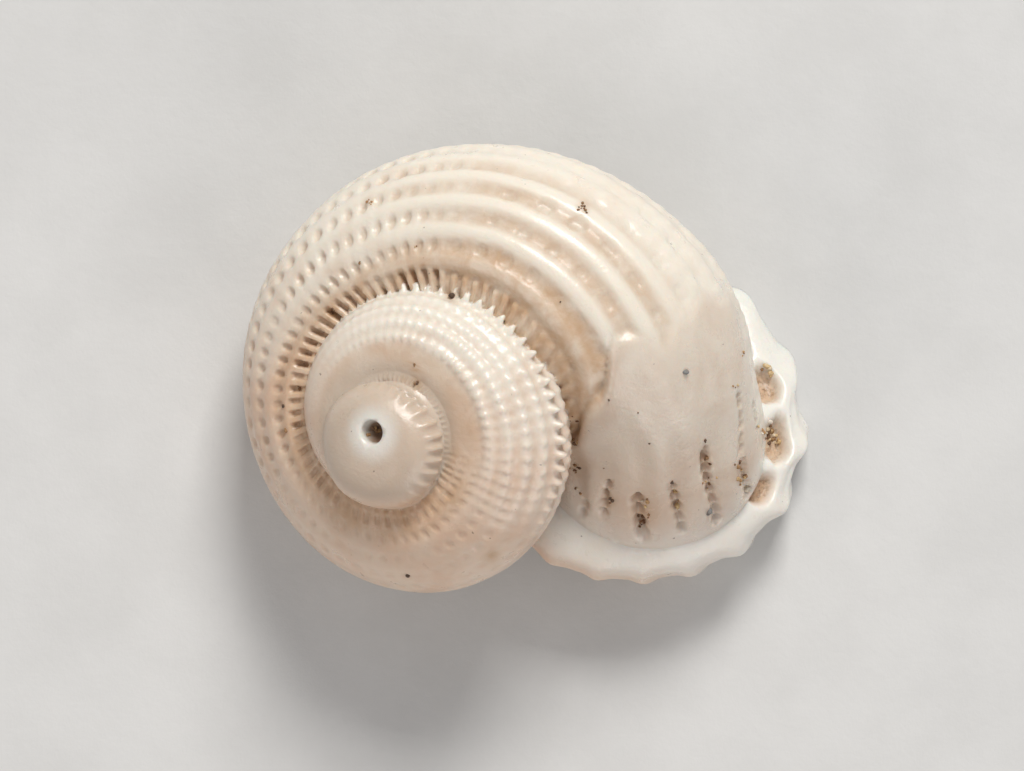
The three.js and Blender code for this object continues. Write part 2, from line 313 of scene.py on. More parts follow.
def wobble(turns, angles, size, seed):
    """Slow, uneven waves between about -1 and 1, size of them to a radian."""
    dice = np.random.default_rng(seed)
    total = 0
    for _ in range(6):
        along, around, start = dice.normal(0, size), dice.normal(0, size * 0.8), dice.uniform(0, 6.28)
        total = total + np.sin(along * turns + around * np.radians(angles) + start)
    return total / 3.5


def wave(count):
    """1 at whole numbers and 0 at halves."""
    return 0.5 + 0.5 * np.cos(2 * math.pi * count)


def slot_depth(turn, angle):
    """How deep the slots between the callus and the rim are."""
    depth = 0 * turn
    radius = sections(turn[:, 0])[3][:, None]
    for at, first, last, half, deepest in MOUTH_SLOTS:
        slack = max(0, (last - first) / 2 - half / SLOT_SPEED)
        along = np.clip(np.abs(turn - (first + last) / 2) - slack, 0, None) * SLOT_SPEED
        bent = at + 3 * np.sin(11 * turn + at)
        across = np.radians(angle - bent) * radius
        edge = 0.02 * wobble(turn * 4, angle, 9, int(at) + 90)
        inner = smooth(np.hypot(along, across) + edge, half + 0.02, half - 0.07)
        rungs = smooth(wave(RUNGS * turn + at + 0.15 * wobble(turn, angle, 20, int(at) + 91)), 0.5, 0.9)
        depth = np.maximum(depth, deepest * inner * (1 - 0.6 * rungs))
    return depth


class Place:
    """Where sampled points of the tube lie among its cords and riblets, and how worn they are."""

    def __init__(self, turns, angles):
        turn = turns[:, None] + 0 * angles[None, :]
        angle = angles[None, :] + 0 * turns[:, None]
        self.turn, self.angle = turn, angle
        self.counted = cord_count(turns, angles) + 0.04 * wobble(turn, angle, 5, 2)
        self.ribbed = rib_count(turn, angle) + 0.15 * wobble(turn, angle, 9, 1)
        self.cord = wave(self.counted)
        self.rib = wave(self.ribbed)
        self.uneven = np.clip(1 + 0.5 * wobble(turn, angle, 13, 9), 0.15, 1.6)
        self.size = sections(turns)[3][:, None] / TUBE_RADIUS
        self.body = smooth(turn, *BODY_RELIEF_TURNS)
        self.worn = smooth(turn + 0.15 * wobble(turn, angle, 4, 3), *WORN_TURNS)
        self.crisp = 0.28 + 0.72 * smooth(turn + 0.2 * wobble(turn, angle, 3, 11), *CRISP_TURNS)
        self.pit = smooth((1 - self.cord) * (1 - self.rib) ** 0.6, 0.38, 0.9) * self.uneven
        self.strong = smooth(angle, 8, 34)
        self.swell = smooth(self.cord, 0.05, 0.95)
        self.netted = smooth(turn, *NET_TURNS) * smooth(self.counted, 0.9, 2.4)
        self.slot_zone = smooth(self.counted, mix(0.98, 0.62, self.worn), mix(0.84, 0.4, self.worn))
        self.slot = self.suture_slots()
        self.edge = self.callus_edge()
        self.callus = smooth(turn, self.edge - 0.03, self.edge + 0.04) * smooth(angle, -36, -10)
        self.crease = self.callus_crease()
        self.deep = slot_depth(turn, angle)
        self.faint = self.faint_furrows()

    def suture_slots(self):
        """The slots beside the suture, uneven, and crossed by a thin cord further back."""
        blade = smooth(self.rib, 0.3, 0.68)
        thread = smooth(np.abs(self.counted - 0.4), 0.17, 0.07) * smooth(self.turn, -2.5, -2.9)
        cut = (1 - 0.62 * smooth(self.turn, -2.0, -1.2)) * (0.2 + 0.8 * smooth(self.turn, -4.6, -3.0))
        each = 0.45 + 0.55 * np.sin(17 * np.floor(self.ribbed)) ** 2
        return self.slot_zone * (1 - blade) * (1 - 0.8 * thread) * cut * self.uneven * each

    def callus_edge(self):
        """The turn at which the callus begins, lobed and later towards the suture."""
        edge = CALLUS_TURN + 0.36 * smooth(self.angle, 55, 90) + 0.05 * wobble(self.turn, self.angle, 7, 4)
        return edge + 0.035 * np.sin(self.angle / 4.5) * smooth(self.angle, 10, 30)

    def callus_crease(self):
        """The crease before the callus, 1 along its middle."""
        away = (self.turn - self.edge + 0.03) / 0.02
        return np.exp(-(away ** 2)) * smooth(self.angle, 42, 60) * smooth(self.angle, 100, 88)

    def faint_furrows(self):
        """Faint furrows in the callus that lead up to the slots."""
        groove = np.abs((self.counted - 0.5) - np.round(self.counted - 0.5))
        begun = smooth(groove, 0.42, 0.05) * smooth(self.turn, -0.5, -0.3)
        return begun * smooth(self.turn, -0.02, -0.12) * self.callus


def body_relief(at):
    """Round pits between smooth cords, worn to furrows on the top right, and slots by the suture."""
    pitted = at.crisp * (CORD_HEIGHT * at.cord + 0.012 * at.cord * at.rib - PIT_DEPTH * at.pit)
    dimple = smooth((1 - at.cord) * (1 - wave(0.5 * at.ribbed)) * at.uneven, 0.45, 0.95)
    furrowed = mix(0.045, 0.105, at.strong) * at.swell + mix(0.012, -0.02, at.strong)
    furrowed = furrowed - mix(0.045, 0.05, at.strong) * dimple
    furrowed = furrowed + 0.02 * at.rib * (1 - at.strong) + 0.01 * wobble(at.turn, at.angle, 11, 12)
    outside = mix(mix(pitted, furrowed, at.worn), 0.035, at.slot_zone)
    return outside - 0.05 * smooth(at.counted, 1.15, 0.5) - SUTURE_SLOT_DEPTH * at.slot


def earlier_relief(at):
    """A bead at each crossing of cord and riblet, and teeth along the last cord that shows."""
    bead = smooth(at.cord * at.rib, 0.15, 0.9)
    net = at.netted * (CORD_HEIGHT * at.cord + BEAD_HEIGHT * bead * at.uneven - 0.015 * at.pit)
    net = net - 0.05 * smooth(at.counted, 2.2, 0.9) * smooth(at.turn, -9.5, -8)
    toothed = smooth(np.abs(at.counted - 6.1), 0.5, 0.1) * smooth(at.turn, -9.1, -8.4)
    return net + TOOTH_HEIGHT * toothed * smooth(at.rib * (0.8 + 0.4 * at.uneven), 0.5, 1.1)


def callus_relief(at, relief):
    """The relief with the smooth callus over the bend, its creased edge and the slots before the rim."""
    lobe = smooth(at.turn, at.edge - 0.01, at.edge + 0.03) * smooth(at.turn, at.edge + 0.22, at.edge + 0.05)
    dimples = 0.02 * wobble(at.turn, at.angle, 7, 5) + 0.012 * wobble(at.turn, at.angle, 16, 6)
    relief = mix(relief, 0.04 + 0.05 * lobe + dimples, at.callus)
    relief = relief - CREASE_DEPTH * at.crease
    relief = relief - np.maximum(at.deep, FURROW_DEPTH * at.faint)
    return relief + NECK_FILLET * smooth(at.turn, -0.42, 0.02)


def tube_masks(at):
    """How strong each of the colours is over the tube, from 0 to 1."""
    bare = at.body * (1 - at.callus)
    band = smooth(at.counted, 2.1, 0.9)
    ramp = smooth(at.counted, 2.4, 1.2) * (1 - at.body) * smooth(at.turn, -10.2, -9.0)
    groove = (1 - at.swell) * at.worn * at.strong * bare
    # Painted shade: tan in the pits, slots, worn grooves and the deep slots by the rim, stronger where they
    # are deeper
    hollow_shade = 0.5 * at.crisp * at.pit * (1 - at.worn) * bare + 0.5 * at.slot * bare * (0.2 + 0.8 * at.crisp)
    hollow_shade = hollow_shade + 0.55 * groove + 0.3 * at.pit * (1 - at.body) * at.netted
    hollow_shade = hollow_shade + 0.75 * smooth(at.deep, 0.03, 0.2)
    # Tan: the shell's own tone on the band by the suture, the ramp by the dome and the callus, and painted
    # shade in the grooves, the furrows and the crease before the callus
    tan_and_shade = 0.9 * band * bare + 0.5 * groove + 0.6 * ramp + 0.1 * at.callus + 0.25 * at.faint + 0.5 * at.crease
    # Painted highlights: bluish white on the crests of the earlier whorls' cords, and below, on the rim by
    # the mouth
    painted_highlight = (1 - at.body) * (0.05 + 0.3 * at.cord) * smooth(at.counted, 1, 2.5)
    painted_highlight = painted_highlight * smooth(at.angle, -110, -80) * smooth(at.turn, -9.8, -8.6)
    dirt = 0.7 * at.slot * bare * smooth(at.turn, -1.2, -2.0) * smooth(at.turn, -4.6, -3.8)
    return {
        "hollow_shade": np.clip(hollow_shade, 0, 1),
        "tan_and_shade": np.clip(tan_and_shade, 0, 1),
        "painted_highlight": np.clip(painted_highlight + 0.8 * smooth(at.turn, -0.16, 0.0), 0, 1),
        "dirt": np.clip(dirt + 0.45 * smooth(at.deep, 0.15, 0.3), 0, 1),
        "smoothed": at.callus,
    }


def tube_relief(turns, angles):
    """Relief in millimetres over a plain tube, and the masks that the colours use."""
    at = Place(turns, angles)
    relief = mix(earlier_relief(at) * 1.3, body_relief(at), at.body) * (0.35 + 0.65 * at.size)
    sunk = smooth(at.turn, *SUNK_TURNS)
    before_dome = 0.07 * smooth(at.turn, -9.6, -10.8) * (1 - sunk)
    relief = relief * (1 - sunk) - SUNK_DEPTH * sunk - before_dome
    return callus_relief(at, relief), tube_masks(at)


def rim_distance(flares, angles):
    """Distance from the centre line over the flared rim, the depth of its pits, and the masks."""
    flare = flares[:, None] + 0 * angles[None, :]
    angle = angles[None, :] + 0 * flares[:, None]
    counted = cord_count(flares, angles)
    neck = sections(flares)[3][:, None]
    rising = np.sin(math.pi / 2 * np.clip(flare / RIM_RISEN_AT, 0, 1)) ** 1.15
    rounding = RIM_ROUNDING * np.clip((flare - RIM_WIDEST_AT) / (1 - RIM_WIDEST_AT), 0, 1) ** 2
    far = FAR_REACH * bump(angle, FAR_AT, FAR_WIDTH)
    far = far + SHOULDER_REACH * bump(angle, SHOULDER_AT, SHOULDER_WIDTH)
    reach = CORNER_REACH * bump(angle, CORNER_AT, CORNER_WIDTH) + far
    inner = 1 - (1 - INNER_SIDE_FLARE) * bump(angle, INNER_SIDE_AT, INNER_SIDE_WIDTH)
    on_cords = smooth(counted, -0.6, 0.2) * smooth(counted, 10.6, 9.8)
    scalloped = mix(SCALLOP_LEAST, 1, bump(angle, SCALLOPED_AT, SCALLOPED_WIDTH))
    wavy = -np.cos(2 * math.pi * counted) + 0.25 * np.cos(4 * math.pi * counted)
    scallop = SCALLOP * scalloped * wavy * on_cords * smooth(flare, 0.0, 0.35)
    widest = mix(neck, RIM_RADIUS + reach + scallop, inner)
    distance = mix(neck, widest, rising) - rounding * inner
    distance = distance + 0.02 * wobble(flare * 4, angle, 3, 8) * smooth(flare, 0, 0.2)
    distance = distance + NECK_FILLET * smooth(flare, 0.35, 0)
    distance = distance + GROOVE_FILL * np.sin(math.pi * np.clip(flare / GROOVE_UNTIL, 0, 1))
    hole = 0 * flare
    pits = 0 * flare
    for at, along, half_angle, half_flare, depth in RIM_PITS:
        apart = np.hypot((angle - at) / half_angle, (flare - along) / half_flare)
        apart = apart + 0.1 * wobble(flare * 6, angle, 6, int(90 + at))
        inside = smooth(apart, 1.12, 0.5)
        rough = 1 + 0.12 * inside * wobble(flare * 20, angle, 20, int(95 + at))
        pits = np.maximum(pits, depth * inside * rough)
        hole = np.maximum(hole, inside)
    nothing = 0 * flare
    masks = {
        # On the rim: painted shade in the pits, tan on the side towards the suture, dirt in the middle of
        # each pit, and painted highlights in bluish white around them
        "hollow_shade": hole,
        "tan_and_shade": np.clip(0.5 * hole + 0.15 * smooth(angle, 20, 70), 0, 1) + nothing,
        "painted_highlight": np.clip(0.9 - hole, 0, 1) * mix(1, 0.12, smooth(angle, 10, 60) * smooth(flare, 0.1, 0.35)),
        "dirt": 0.9 * hole ** 2,
        "smoothed": 0.2 + nothing,
    }
    return distance, pits, masks


def normals_of(grid):
    """The outward direction at each point of a grid of rings."""
    along = np.gradient(grid, axis=0)
    around = np.roll(grid, -1, axis=1) - np.roll(grid, 1, axis=1)
    out = np.cross(along, around)
    return out / np.linalg.norm(out, axis=-1, keepdims=True)


def ring_angles():
    """Angles around a section: fine where the outside shows, coarser on the inner side."""
    fine = np.arange(104, -165, -FINE_STEP)
    coarse = np.arange(fine[-1] - COARSE_STEP, 104 - 360 + COARSE_STEP / 2, -COARSE_STEP)
    return np.concatenate([fine, coarse])


def add_object(name, vertices, faces):
    mesh = bpy.data.meshes.new(name)
    mesh.from_pydata([tuple(v) for v in np.asarray(vertices) * MM], [], faces)
    mesh.validate()
    made = bpy.data.objects.new(name, mesh)
    bpy.context.scene.collection.objects.link(made)
    return made


def loft(name, rows):
    """A closed mesh through rows of points, each row a ring."""
    count, size = rows.shape[:2]
    index = np.arange(count * size).reshape(count, size)
    after = np.roll(index, -1, axis=1)
    sides = np.stack([index[:-1], index[1:], after[1:], after[:-1]], -1).reshape(-1, 4)
    first, last = count * size, count * size + 1
    faces = sides.tolist()
    faces += [[first, i, n] for i, n in zip(index[0].tolist(), after[0].tolist())]
    faces += [[last, n, i] for i, n in zip(index[-1].tolist(), after[-1].tolist())]
    vertices = np.concatenate([rows.reshape(-1, 3), [rows[0].mean(0)], [rows[-1].mean(0)]])
    return add_object(name, vertices, faces)


def tube_rows(turns, angles):
    relief, masks = tube_relief(turns, angles)
    radius = sections(turns)[3][:, None]
    return surface(turns, angles, radius + relief), masks


def body_rows(angles):
    """The rows of the body whorl and its rim, and the masks."""
    turns = np.linspace(BODY_FROM, 0, BODY_ROWS)
    tube, tube_masks = tube_rows(turns, angles)
    flares = np.linspace(0, 1, RIM_ROWS)[1:]
    distance, pits, rim_masks = rim_distance(flares, angles)
    rim = surface(flares, angles, distance)
    rim[..., 2] += CORNER_LIFT * flares[:, None] * bump(angles, CORNER_AT, CORNER_WIDTH)
    rim = rim - pits[..., None] * normals_of(rim)
    masks = {name: np.concatenate([tube_masks[name], rim_masks[name]]) for name in tube_masks}
    return np.concatenate([tube, rim]), masks


def hollow():
    """The hollow inside the body whorl, running out through the mouth."""
    angles = np.arange(180, -180, -6.0)
    turns = np.linspace(HOLLOW_END, 0, 70)
    inside = surface(turns, angles, (sections(turns)[3] - WALL)[:, None] + 0 * angles)
    flares = np.linspace(0, HOLLOW_PAST_MOUTH, 22)[1:]
    widening = MOUTH_RADIUS + 0.35 * smooth(flares, 0.55, 1.05) ** 2
    neck = sections(np.array([0.0]))[3][0] - WALL
    radius = mix(neck, widening, smooth(flares, 0, 0.4))
    mouth = surface(flares, angles, radius[:, None] + 0 * angles)
    return loft("hollow", np.concatenate([inside, mouth]))


def leaning_matrix(centre):
    turn = Vector((0, 0, 1)).rotation_difference(Vector(AXIS)).to_matrix().to_4x4()
    return Matrix.Translation(Vector((centre + APEX) * MM)) @ turn


def dome():
    """The worn dome of the first whorls, with small teeth along its edge on the right."""
    around = np.radians(np.arange(360, 0, -2.0))
    up = np.radians(np.linspace(-80, 90, 70))[:-1]
    uneven = 1 + 0.012 * np.cos(3 * around) + 0.01 * np.sin(5 * around + 1)
    right = bump(np.degrees(around), 5, 62)
    counted = around * DOME_TEETH / (2 * math.pi) + 0.12 * np.sin(5 * around)
    teeth = DOME_TOOTH_HEIGHT * right * wave(counted) ** 2.5
    rows = []
    for u in up:
        across = DOME_RADIUS * math.cos(u) ** DOME_FULLNESS * uneven
        across = across + teeth * smooth(u, 0.0, 0.25) * smooth(u, 0.8, 0.45)
        height = DOME_HEIGHT * math.sin(u) + 0.03 * np.exp(-((across / 0.55) ** 2))
        rows.append(np.stack([across * np.cos(around), across * np.sin(around), height + 0 * around], -1))
    made = loft("dome", np.array(rows))
    made.data.transform(leaning_matrix(DOME_CENTRE))
    return made


def apex_hole():
    """The round hole in the dome, which winds down past a small ledge."""
    around = np.radians(np.arange(360, 0, -10.0))
    rows = []
    for radius, height in APEX_HOLE_PROFILE:
        wound = radius * (1 + 0.12 * np.cos(around - 2)) - 0.05 * (height < -0.1) * np.sin(around / 2)
        rows.append(np.stack([wound * np.cos(around), wound * np.sin(around), height + 0 * around], -1))
    made = loft("apex_hole", np.array(rows))
    made.data.transform(leaning_matrix(APEX_HOLE_CENTRE))
    return made


def cut_or_join(target, other, operation):
    """The target with the other joined to it or cut from it."""
    modifier = target.modifiers.new("cut", "BOOLEAN")
    modifier.operation = operation
    modifier.object = other
    modifier.solver = "MANIFOLD"
    bpy.context.view_layer.update()
    graph = bpy.context.evaluated_depsgraph_get()
    mesh = bpy.data.meshes.new_from_object(target.evaluated_get(graph))
    target.modifiers.clear()
    target.data = mesh
    return target


def remove(*objects):
    for item in objects:
        bpy.data.objects.remove(item)


def decimated(target, triangles):
    """The target with its flat stretches thinned out to this many triangles."""
    target.data.calc_loop_triangles()
    modifier = target.modifiers.new("thin", "DECIMATE")
    modifier.ratio = min(1, triangles / len(target.data.loop_triangles))
    bpy.context.view_layer.update()
    graph = bpy.context.evaluated_depsgraph_get()
    mesh = bpy.data.meshes.new_from_object(target.evaluated_get(graph))
    target.modifiers.clear()
    target.data = mesh
    return target


def without_loose_bits(target):
    """The target with only its largest connected part."""
    mesh = bmesh.new()
    mesh.from_mesh(target.data)
    left = set(mesh.verts)
    parts = []
    while left:
        part = set()
        ahead = [left.pop()]
        while ahead:
            vertex = ahead.pop()
            part.add(vertex)
            beside = [edge.other_vert(vertex) for edge in vertex.link_edges]
            beside = [other for other in beside if other in left]
            left.difference_update(beside)
            ahead += beside
        parts.append(part)
    largest = max(parts, key=len)
    loose = [vertex for vertex in mesh.verts if vertex not in largest]
    bmesh.ops.delete(mesh, geom=loose, context="VERTS")
    mesh.to_mesh(target.data)
    mesh.free()


def coordinates(target):
    """The target's vertices, in metres."""
    places = np.empty(len(target.data.vertices) * 3, np.float32)
    target.data.vertices.foreach_get("co", places)
    return places.reshape(-1, 3)


def paint_masks(target, points, masks):
    """Gives each vertex of the target the masks of the nearest sampled point."""
    tree = KDTree(len(points))
    for i, point in enumerate(points):
        tree.insert(point, i)
    tree.balance()
    found = [tree.find(place) for place in coordinates(target)]
    nearest = np.array([f[1] for f in found])
    near = np.array([f[2] for f in found]) < SAMPLE_REACH * MM
    for name, values in masks.items():
        paint(target, name, np.where(near, values[nearest], 0))


def paint(target, name, values):
    layer = target.data.attributes.new(name, "FLOAT", "POINT")
    layer.data.foreach_set("value", np.asarray(values, np.float32))


def paint_dome(target):
    """Marks how far a place is from the dome's middle, and where the painted shade inside the apex hole goes.
    """
    away = coordinates(target) / MM - APEX - APEX_HOLE_CENTRE
    along = away @ AXIS
    across = np.linalg.norm(away - along[:, None] * AXIS, axis=1)
    paint(target, "from_apex", np.where(along > -1.2, across, 9))
    paint(target, "apex_hole_shade", smooth(across, 0.27, 0.2) * smooth(along, 0.05, -0.04) * (along > -0.6))


def paint_stains(target):
    """Brown stains around the specks and grains that are stuck to the shell."""
    places = coordinates(target) / MM
    stain = np.zeros(len(places))
    for x, y, reach, strength in STAINS:
        away = np.hypot(places[:, 0] - x, places[:, 1] - y) / reach
        stain = np.maximum(stain, strength * np.exp(-(away ** 2)) * (places[:, 2] > STAINED_ABOVE))
    paint(target, "stain", stain)


def build_shell():
    angles = ring_angles()
    rows, masks = body_rows(angles)
    turns = np.linspace(EARLIER_FROM, BODY_FROM, EARLIER_ROWS)
    earlier_points, earlier_masks = tube_rows(turns, angles)
    earlier_points[-1] = rows[0]
    first_turns = np.linspace(FIRST_TURN, EARLIER_FROM, FIRST_ROWS)
    first_points, _ = tube_rows(first_turns, angles)
    first_points[-1] = earlier_points[0]

    shell = loft("shell_surface", rows)
    earlier = loft("earlier", earlier_points)
    first, top = loft("first", first_points), dome()
    for other in (earlier, first, top):
        cut_or_join(shell, other, "UNION")
    opening = cut_or_join(hollow(), earlier, "DIFFERENCE")
    pit = apex_hole()
    bpy.ops.mesh.primitive_cube_add(size=0.04, location=(0, 0, -0.02))
    under = bpy.context.object
    for other in (opening, pit, under):
        cut_or_join(shell, other, "DIFFERENCE")
    remove(earlier, first, top, opening, pit, under)
    decimated(shell, SHELL_TRIANGLES)
    without_loose_bits(shell)
    shell.data.shade_smooth()
    points = np.concatenate([rows.reshape(-1, 3), earlier_points.reshape(-1, 3)]) * MM
    joined = {k: np.concatenate([masks[k].ravel(), earlier_masks[k].ravel()]) for k in masks}
    paint_masks(shell, points, joined)
    paint_dome(shell)
    paint_stains(shell)
    return shell


shell = build_shell()
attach(shell, "root")
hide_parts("shell")


class Shader:
    """Builds a material's nodes one after another."""

    def __init__(self, name):
        self.material = bpy.data.materials.new(name)
        self.material.use_nodes = True
        self.tree = self.material.node_tree
        self.surface = self.tree.nodes["Principled BSDF"]

    def node(self, kind, **settings):
        made = self.tree.nodes.new(kind)
        for name, value in settings.items():
            setattr(made, name, value)
        return made

    def put(self, socket, value):
        """Links a socket to another, or sets its number."""
        if isinstance(value, bpy.types.NodeSocket):
            self.tree.links.new(value, socket)
        else:
            socket.default_value = value

    def mask(self, name):
        return self.node("ShaderNodeAttribute", attribute_name=name).outputs["Fac"]

    def math(self, operation, first, second=0.0):
        made = self.node("ShaderNodeMath", operation=operation)
        self.put(made.inputs[0], first)
        self.put(made.inputs[1], second)
        return made.outputs[0]

    def between(self, value, low, high, start=0.0, end=1.0):
        """A value's share between low and high, clamped, as a number from start to end."""
        made = self.node("ShaderNodeMapRange", interpolation_type="SMOOTHSTEP")
        inputs = {"Value": value, "From Min": low, "From Max": high, "To Min": start, "To Max": end}
        for name, number in inputs.items():
            self.put(made.inputs[name], number)
        return made.outputs[0]

    def blend(self, share, first, second):
        made = self.node("ShaderNodeMix", data_type="RGBA")
        self.put(made.inputs[0], share)
        self.put(made.inputs[6], first)
        self.put(made.inputs[7], second)
        return made.outputs[2]

    def place(self):
        return self.node("ShaderNodeTexCoord").outputs["Object"]

    def noise(self, size, detail=3.0, roughness=0.5, distortion=0.0):
        """Noise whose bumps are about this many millimetres across."""
        made = self.node("ShaderNodeTexNoise")
        self.put(made.inputs["Vector"], self.place())
        made.inputs["Scale"].default_value = 1 / (size * MM)
        made.inputs["Detail"].default_value = detail
        made.inputs["Roughness"].default_value = roughness
        made.inputs["Distortion"].default_value = distortion
        return made.outputs["Fac"]

    def bump(self, heights):
        """Bumps from pairs of a height and how many millimetres it stands for."""
        normal = None
        for height, depth in heights:
            made = self.node("ShaderNodeBump")
            made.inputs["Strength"].default_value = 1
            made.inputs["Distance"].default_value = depth * MM
            self.put(made.inputs["Height"], height)
            if normal:
                self.put(made.inputs["Normal"], normal)
            normal = made.outputs["Normal"]
        self.put(self.surface.inputs["Normal"], normal)


# Where the painted shade towards the lower left starts and is full, measured across the shell from its upper
# right
SHADE_FROM, SHADE_FULL = 2.6, -3.4

# Colours, as linear red, green and blue
CREAM = (0.79, 0.725, 0.62, 1)
# Painted shade: the blush of the lower left
SHADE_BLUSH = (0.66, 0.47, 0.34, 1)
TAN = (0.50, 0.31, 0.17, 1)
DOME_TAN_AND_SHADE = (0.53, 0.44, 0.35, 1)
CALLUS = (0.58, 0.455, 0.355, 1)
WHITE = (0.80, 0.80, 0.75, 1)
OCHRE = (0.46, 0.25, 0.10, 1)
BROWN = (0.19, 0.10, 0.05, 1)
UMBER = (0.065, 0.042, 0.03, 1)
SAND_BROWN = (0.42, 0.24, 0.1, 1)
SAND_OCHRE = (0.66, 0.48, 0.24, 1)
SAND_WHITE = (0.72, 0.68, 0.6, 1)
SAND_GREY = (0.16, 0.17, 0.17, 1)
FLOOR_DARK = (0.60, 0.595, 0.58, 1)
FLOOR_LIGHT = (0.64, 0.635, 0.62, 1)


def shell_material():
    """Glazed ivory shell, with painted shade and painted highlights: a blush towards the lower left, tan in
    the grooves and hollows, and bluish white on the rim and the beads.
    """
    made = Shader("shell_ivory")
    split = made.node("ShaderNodeSeparateXYZ")
    made.put(split.inputs[0], made.place())
    x, y = split.outputs[0], split.outputs[1]
    cloud = made.noise(1.6, 4, 0.55, 0.6)
    patch = made.noise(0.5, 4, 0.6, 0.3)
    fine = made.noise(0.09, 3, 0.6)

    # Painted shade: a blush that grows towards the lower left, away from the window lamp, with random
    # blotches of blush from the cloud noise
    down = made.math("ADD", made.math("MULTIPLY", y, 1.0), made.math("MULTIPLY", x, 0.35))
    lower_left_shade = made.between(down, SHADE_FROM * MM, SHADE_FULL * MM)
    shade_and_blotches = made.math("ADD", made.math("MULTIPLY", lower_left_shade, 0.75), made.between(cloud, 0.4, 0.7, -0.1, 0.26))
    colour = made.blend(made.between(shade_and_blotches, 0, 1), CREAM, SHADE_BLUSH)
    # Tan, partly the shell's own tone and partly painted shade in the grooves and the crease
    tan_and_shade = made.math("MULTIPLY", made.mask("tan_and_shade"), made.between(patch, 0.25, 0.7, 0.35, 0.85))
    colour = made.blend(tan_and_shade, colour, TAN)
    # Painted shade: tan in the hollows
    hollow = made.math("MULTIPLY", made.mask("hollow_shade"), made.between(patch, 0.3, 0.65, 0.3, 0.7))
    colour = made.blend(hollow, colour, TAN)
    # Painted highlights: bluish white on the rim and the beads
    painted_highlight = made.math("MULTIPLY", made.mask("painted_highlight"), made.between(cloud, 0.3, 0.65, 0.65, 1.0))
    colour = made.blend(painted_highlight, colour, WHITE)
    # The dome's own tan, darkened further with painted shade
    dome_tan_and_shade = made.between(made.mask("from_apex"), 1.3, 1.75, 0.75, 0.0)
    colour = made.blend(dome_tan_and_shade, colour, DOME_TAN_AND_SHADE)
    # The callus's own pinkish grey, darkened partly as painted shade on a surface that faces away from the
    # window lamp
    smoothed = made.math("MULTIPLY", made.mask("smoothed"), made.between(cloud, 0.35, 0.65, 0.3, 0.6))
    colour = made.blend(smoothed, colour, CALLUS)
    middle = made.between(made.mask("from_apex"), 0.3, 0.75, 0.7, 0.0)
    colour = made.blend(middle, colour, WHITE)
    # Painted shade: brown inside the apex hole
    colour = made.blend(made.math("MULTIPLY", made.mask("apex_hole_shade"), 0.92), colour, BROWN)
    grime = made.math("MULTIPLY", made.mask("dirt"), made.between(made.noise(0.12, 4, 0.7), 0.45, 0.68))
    colour = made.blend(made.math("MULTIPLY", grime, 0.8), colour, BROWN)
    stain = made.mask("stain")
    colour = made.blend(stain, colour, made.blend(made.between(stain, 0.45, 0.9), OCHRE, BROWN))
    specks = made.between(made.noise(0.16, 2, 0.5), 0.755, 0.785)
    colour = made.blend(made.math("MULTIPLY", specks, 0.55), colour, UMBER)
    made.put(made.surface.inputs["Base Color"], colour)

    gloss = made.between(patch, 0.3, 0.7, 0.26, 0.46)
    gloss = made.math("ADD", gloss, made.math("MULTIPLY", made.mask("hollow_shade"), 0.25))
    gloss = made.math("SUBTRACT", gloss, made.math("MULTIPLY", made.mask("smoothed"), 0.04))
    made.put(made.surface.inputs["Roughness"], gloss)
    made.surface.inputs["IOR"].default_value = 1.5
    made.surface.inputs["Specular IOR Level"].default_value = 0.5
    made.surface.inputs["Subsurface Weight"].default_value = 0.3
    made.surface.inputs["Subsurface Radius"].default_value = (1.0, 0.55, 0.35)
    made.surface.inputs["Subsurface Scale"].default_value = 0.35 * MM
    made.surface.inputs["Coat Weight"].default_value = 0.15
    made.surface.inputs["Coat Roughness"].default_value = 0.2
    made.bump([(patch, 0.022), (fine, 0.007), (made.noise(0.025, 2, 0.5), 0.0018)])
    return made.material


shell.data.materials.clear()
shell.data.materials.append(shell_material())


def grain_material():
    """Sand: each grain has its own shade, from dark brown through ochre to white and grey."""
    made = Shader("sand_grains")
    ramp = made.node("ShaderNodeValToRGB")
    ramp.color_ramp.interpolation = "LINEAR"
    stops = [
        (0.0, UMBER),
        (0.3, BROWN),
        (0.5, SAND_BROWN),
        (0.68, SAND_OCHRE),
        (0.85, SAND_WHITE),
        (1.0, SAND_GREY),
    ]
    while len(ramp.color_ramp.elements) < len(stops):
        ramp.color_ramp.elements.new(0.5)
    for element, (at, colour) in zip(ramp.color_ramp.elements, stops):
        element.position = at
        element.color = colour
    made.put(ramp.inputs[0], made.mask("shade"))
    mottle = made.between(made.noise(0.06, 3, 0.6), 0.4, 0.7, 0.0, 0.45)
    made.put(made.surface.inputs["Base Color"], made.blend(mottle, ramp.outputs[0], BROWN))
    made.put(made.surface.inputs["Roughness"], made.between(made.noise(0.04), 0.3, 0.7, 0.45, 0.8))
    made.bump([(made.noise(0.03, 3, 0.6), 0.01)])
    return made.material


def add_grain(mesh, dice, centre, normal, size):
    """A small angular lump, half sunk in the surface."""
    lump = bmesh.ops.create_icosphere(mesh, subdivisions=2, radius=1)["verts"]
    stretch = Vector((dice.uniform(0.7, 1.2), dice.uniform(0.6, 1.0), dice.uniform(0.5, 0.9))) * size
    turn = Vector((0, 0, 1)).rotation_difference(Vector(dice.normal(0, 1, 3))).to_matrix()
    facets = [Vector(dice.normal(0, 1, 3)).normalized() for _ in range(7)]
    for vertex in lump:
        place = vertex.co.copy()
        for facet in facets:
            over = place.dot(facet) - 0.78
            place -= facet * max(0, over) * 0.85
        place = Vector(a * b for a, b in zip(place, stretch))
        vertex.co = (centre + normal * size * 0.12 + turn @ place) * MM
    return lump


